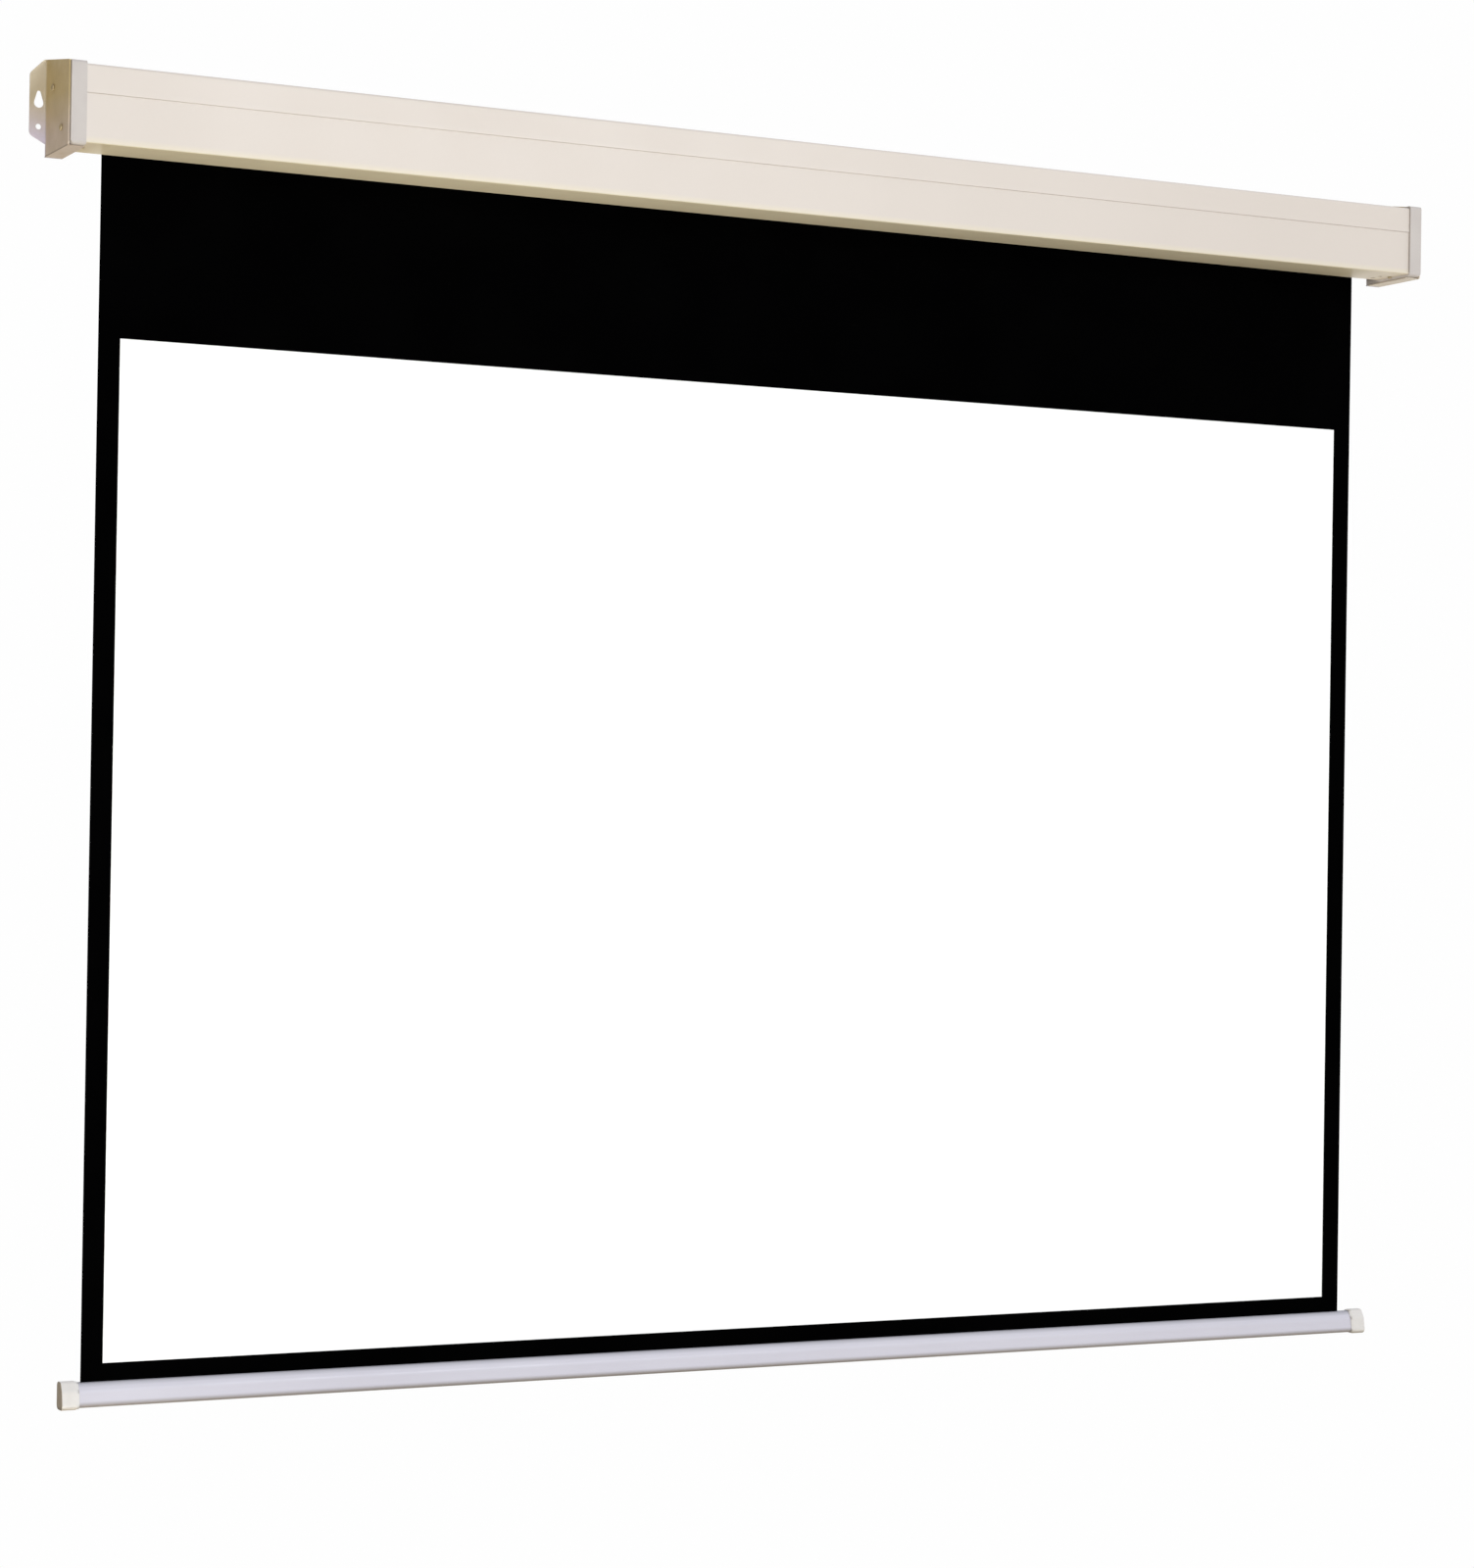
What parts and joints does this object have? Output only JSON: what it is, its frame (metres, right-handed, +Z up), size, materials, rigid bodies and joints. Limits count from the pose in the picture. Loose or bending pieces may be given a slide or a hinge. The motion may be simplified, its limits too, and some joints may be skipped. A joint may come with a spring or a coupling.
{
  "type": "motorized projector screen",
  "caption": "Wall-hung motorized projector screen: slim cream housing with capped ends and wall brackets, black-bordered white fabric let down to a grey weight bar.",
  "frame": {"origin": "middle of the housing's back face, which lies in the wall's plane", "axes": "+X along the housing towards its motor end, +Y into the wall, +Z up; metres"},
  "size_m": [1.9628, 0.0995, 1.5818],
  "materials": {
    "cream_paint": "satin",
    "cap_plastic": "satin",
    "bracket_paint": "satin",
    "guide_plastic": "matte",
    "white_fabric": "matte",
    "black_fabric": "matte",
    "bar_paint": "satin",
    "bar_cap_plastic": "satin",
    "zinc_steel": "zinc plated",
    "screw_steel": "nickel plated",
    "dark_plastic": "matte",
    "natural_plastic": "matte",
    "sintered_brass": "sintered",
    "laminated_iron": "laminated",
    "black_rubber": "matte",
    "board_green": "satin",
    "capacitor_case": "satin",
    "tape": "matte",
    "adjuster_yellow": "satin",
    "adjuster_white": "satin"
  },
  "bodies": {
    "case": {"upper_housing": "cream_paint", "front_cover": "cream_paint", "slot_guide": "guide_plastic", "end_cap_left": "cap_plastic", "end_cap_right": "cap_plastic", "wall_bracket_left": "bracket_paint", "wall_bracket_right": "bracket_paint", "bracket_screw_left_1": "screw_steel", "bracket_screw_left_2": "screw_steel", "bracket_screw_right_1": "screw_steel", "bracket_screw_right_2": "screw_steel", "cover_screw_left": "screw_steel", "cover_screw_right": "screw_steel", "housing_screw_left": "screw_steel", "housing_screw_right": "screw_steel", "idler_bracket": "zinc_steel", "idler_pin": "zinc_steel", "motor_bracket": "zinc_steel", "motor_head": "dark_plastic", "motor_tube": "zinc_steel", "limit_switch_block": "dark_plastic", "circuit_board": "board_green", "capacitor": "capacitor_case", "rear_end_bell": "natural_plastic", "front_end_bell": "natural_plastic", "stator": "laminated_iron", "gearbox_nose": "sintered_brass", "ring_gear": "sintered_brass", "cable_grommet": "black_rubber", "terminal_block": "adjuster_white", "masking_fabric": "black_fabric", "picture_panel": "white_fabric"},
    "bar": {"weight_bar": "bar_paint", "bar_cap_left": "bar_cap_plastic", "bar_cap_right": "bar_cap_plastic", "hem_rod": "natural_plastic", "bottom_border": "black_fabric"},
    "roller": {"roller_tube": "zinc_steel", "idler_plug": "natural_plastic", "idler_bush": "sintered_brass", "wound_fabric": "black_fabric", "fabric_tape": "tape", "crown_ring": "natural_plastic", "drive_wheel": "natural_plastic", "output_carrier": "zinc_steel"},
    "planet_1": {"planet_gear_1": "sintered_brass"},
    "planet_2": {"planet_gear_2": "sintered_brass"},
    "planet_3": {"planet_gear_3": "sintered_brass"},
    "rotor": {"rotor": "laminated_iron", "brake_disc": "dark_plastic", "sun_gear": "sintered_brass"},
    "limit_screw_up": {"limit_screw_up": "adjuster_yellow"},
    "limit_screw_down": {"limit_screw_down": "adjuster_white"}
  },
  "joints": [
    {"name": "bar_slide", "type": "slide", "parent": "case", "child": "bar", "axis": [0, 0, 1], "range_m": [0, 1.43], "deforming": ["masking_fabric", "picture_panel"]},
    {"name": "roller_spin", "type": "hinge", "parent": "case", "child": "roller", "pos_m": [0, -0.05019, 0], "axis": [1, 0, 0], "range_deg": [0, 2911]},
    {"name": "planet_1_spin", "type": "hinge", "parent": "roller", "child": "planet_1", "pos_m": [0.641, -0.05019, 0.01013], "axis": [1, 0, 0], "range_deg": [-8145, 0]},
    {"name": "planet_2_spin", "type": "hinge", "parent": "roller", "child": "planet_2", "pos_m": [0.641, -0.05896, -0.00506], "axis": [1, 0, 0], "range_deg": [-8145, 0]},
    {"name": "planet_3_spin", "type": "hinge", "parent": "roller", "child": "planet_3", "pos_m": [0.641, -0.04142, -0.00506], "axis": [1, 0, 0], "range_deg": [-8145, 0]},
    {"name": "rotor_spin", "type": "hinge", "parent": "case", "child": "rotor", "pos_m": [0.7, -0.05019, 0], "axis": [1, 0, 0], "range_deg": [0, 13089]},
    {"name": "limit_screw_up_turn", "type": "hinge", "parent": "case", "child": "limit_screw_up", "pos_m": [0.9214, -0.05819, -0.018], "axis": [0, 0, 1], "range_deg": [-1080, 1080]},
    {"name": "limit_screw_down_turn", "type": "hinge", "parent": "case", "child": "limit_screw_down", "pos_m": [0.9214, -0.04219, -0.018], "axis": [0, 0, 1], "range_deg": [-1080, 1080]}
  ],
  "couplings": [
    {"joint": "roller_spin", "follows": "bar_slide", "rad_per_m": 35.477},
    {"joint": "planet_1_spin", "follows": "bar_slide", "rad_per_m": -99.335},
    {"joint": "planet_2_spin", "follows": "bar_slide", "rad_per_m": -99.335},
    {"joint": "planet_3_spin", "follows": "bar_slide", "rad_per_m": -99.335},
    {"joint": "rotor_spin", "follows": "bar_slide", "rad_per_m": 159.65}
  ]
}
